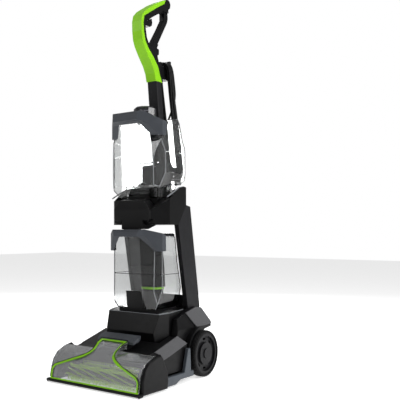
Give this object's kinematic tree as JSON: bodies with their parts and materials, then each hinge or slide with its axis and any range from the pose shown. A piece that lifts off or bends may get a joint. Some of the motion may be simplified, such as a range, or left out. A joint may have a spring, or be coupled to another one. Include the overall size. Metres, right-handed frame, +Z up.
{
  "type": "upright carpet washer",
  "caption": "Upright carpet washing machine with a reclining body, clear clean and dirty water tanks, brush nozzle, trigger grip and wound mains cord.",
  "frame": {"origin": "on the floor at the middle of the footprint, from the nozzle's lip to the lower cord hook", "axes": "+X to the machine's left-to-right width as seen from its front camera side, -Y towards the nozzle, +Z up"},
  "size_m": [0.3192, 0.404, 1.107],
  "materials": {
    "black_plastic": "satin black ABS",
    "dark_plastic": "textured dark ABS",
    "slate_plastic": "satin slate grey",
    "grey_plastic": "fine grained grey",
    "trim_plastic": "satin blue-grey",
    "green_plastic": "gloss lime green",
    "clear_plastic": "clear moulded",
    "smoked_plastic": "smoked translucent",
    "tyre_rubber": "matte tread",
    "rubber": "soft rubber",
    "bristle": "nylon bristles",
    "motor_metal": "cast",
    "steel": "plain"
  },
  "bodies": {
    "foot": {"foot_chassis": "black_plastic", "foot_cover": "black_plastic", "end_cap_left": "black_plastic", "end_cap_right": "black_plastic", "accent_panel_left": "grey_plastic", "accent_panel_right": "grey_plastic", "side_trim_left": "trim_plastic", "side_trim_right": "trim_plastic", "rear_cover_left": "grey_plastic", "rear_cover_right": "grey_plastic", "front_lip": "rubber", "spray_bar": "black_plastic", "brush_motor": "motor_metal", "drive_belts": "rubber", "wheel_axle": "steel", "pivot_pins": "steel", "foot_screws": "steel"},
    "front_brush": {"front_brush_roll": "bristle"},
    "rear_brush": {"rear_brush_roll": "bristle"},
    "motor_shaft": {"motor_pulley": "black_plastic"},
    "wheel_left": {"tyre_left": "tyre_rubber", "wheel_hub_left": "dark_plastic"},
    "wheel_right": {"tyre_right": "tyre_rubber", "wheel_hub_right": "dark_plastic"},
    "roller_left": {"front_roller_left": "dark_plastic"},
    "roller_right": {"front_roller_right": "dark_plastic"},
    "nozzle": {"nozzle_window": "clear_plastic", "window_trim": "green_plastic"},
    "latch": {"nozzle_latch": "slate_plastic"},
    "upright": {"body_frame": "dark_plastic", "lower_basin": "black_plastic", "water_pump": "dark_plastic", "mid_housing": "black_plastic", "vacuum_motor": "motor_metal", "body_screws": "steel", "spine_base": "black_plastic", "handle_pole": "dark_plastic", "handle_grip": "green_plastic", "handle_loop": "black_plastic", "upper_cord_hook": "black_plastic", "lower_cord_hook": "black_plastic", "cord_hank": "rubber", "cord_lead": "rubber", "strain_relief": "rubber", "cord_plug": "rubber"},
    "fan": {"suction_fan": "black_plastic"},
    "trigger": {"trigger": "black_plastic"},
    "power_button": {"power_button": "black_plastic"},
    "clean_tank": {"clean_tank": "clear_plastic", "clean_tank_handle": "slate_plastic"},
    "clean_cap": {"clean_tank_cap": "smoked_plastic"},
    "clean_valve": {"clean_tank_valve": "rubber"},
    "dirty_tank": {"dirty_tank": "clear_plastic", "dirty_tank_lid": "smoked_plastic", "dirty_tank_handle": "slate_plastic", "inlet_column": "black_plastic", "float_cup": "smoked_plastic", "cup_ring": "green_plastic", "badge_plate": "black_plastic"},
    "float": {"tank_float": "rubber"}
  },
  "joints": [
    {"name": "body_recline", "type": "hinge", "parent": "foot", "child": "upright", "pos_m": [0, 0.103, 0.14], "axis": [-1, 0, 0], "range_deg": [0, 60]},
    {"name": "wheel_left_roll", "type": "hinge", "parent": "foot", "child": "wheel_left", "pos_m": [-0.14, 0.114, 0.064], "axis": [1, 0, 0], "continuous": true},
    {"name": "roller_left_roll", "type": "hinge", "parent": "foot", "child": "roller_left", "pos_m": [-0.112, -0.066, 0.009], "axis": [1, 0, 0], "continuous": true},
    {"name": "wheel_right_roll", "type": "hinge", "parent": "foot", "child": "wheel_right", "pos_m": [0.14, 0.114, 0.064], "axis": [1, 0, 0], "continuous": true},
    {"name": "roller_right_roll", "type": "hinge", "parent": "foot", "child": "roller_right", "pos_m": [0.112, -0.066, 0.009], "axis": [1, 0, 0], "continuous": true},
    {"name": "front_brush_spin", "type": "hinge", "parent": "foot", "child": "front_brush", "pos_m": [0, -0.158, 0.0265], "axis": [1, 0, 0], "continuous": true},
    {"name": "rear_brush_spin", "type": "hinge", "parent": "foot", "child": "rear_brush", "pos_m": [0, -0.109, 0.0265], "axis": [1, 0, 0], "continuous": true},
    {"name": "motor_spin", "type": "hinge", "parent": "foot", "child": "motor_shaft", "pos_m": [-0.12, -0.03, 0.06], "axis": [1, 0, 0], "continuous": true},
    {"name": "nozzle_lift", "type": "slide", "parent": "foot", "child": "nozzle", "axis": [0, -0.7071, 0.7071], "range_m": [0, 0.04]},
    {"name": "latch_slide", "type": "slide", "parent": "foot", "child": "latch", "axis": [0, 0.9348, 0.3551], "range_m": [0, 0.006]},
    {"name": "fan_spin", "type": "hinge", "parent": "upright", "child": "fan", "pos_m": [0, 0.053, 0.472], "axis": [0, 0, 1], "continuous": true},
    {"name": "trigger_pull", "type": "hinge", "parent": "upright", "child": "trigger", "pos_m": [0, 0.011, 1.009], "axis": [1, 0, 0], "range_deg": [0, 8], "stiffness_Nm_per_rad": 0.08, "springref_deg": -11.46},
    {"name": "button_press", "type": "slide", "parent": "upright", "child": "power_button", "axis": [0, -1, 0], "range_m": [0, 0.003], "stiffness_N_per_m": 600, "springref_m": -0.002},
    {"name": "clean_tank_lift", "type": "slide", "parent": "upright", "child": "clean_tank", "axis": [0, -0.2079, 0.9781], "range_m": [0, 0.1]},
    {"name": "cap_turn", "type": "hinge", "parent": "clean_tank", "child": "clean_cap", "pos_m": [0, 0.032, 0.75], "axis": [0, 0, 1], "range_deg": [0, 90]},
    {"name": "valve_open", "type": "slide", "parent": "clean_tank", "child": "clean_valve", "axis": [0, 0, 1], "range_m": [0, 0.004], "stiffness_N_per_m": 150, "springref_m": -0.002},
    {"name": "dirty_tank_tip", "type": "hinge", "parent": "upright", "child": "dirty_tank", "pos_m": [0, -0.01, 0.1903], "axis": [1, 0, 0], "range_deg": [0, 12]},
    {"name": "float_rise", "type": "slide", "parent": "dirty_tank", "child": "float", "axis": [0, 0, 1], "range_m": [0, 0.02]}
  ],
  "couplings": [
    {"joint": "rear_brush_spin", "follows": "front_brush_spin", "ratio": 1},
    {"joint": "motor_spin", "follows": "front_brush_spin", "ratio": 1.5}
  ]
}
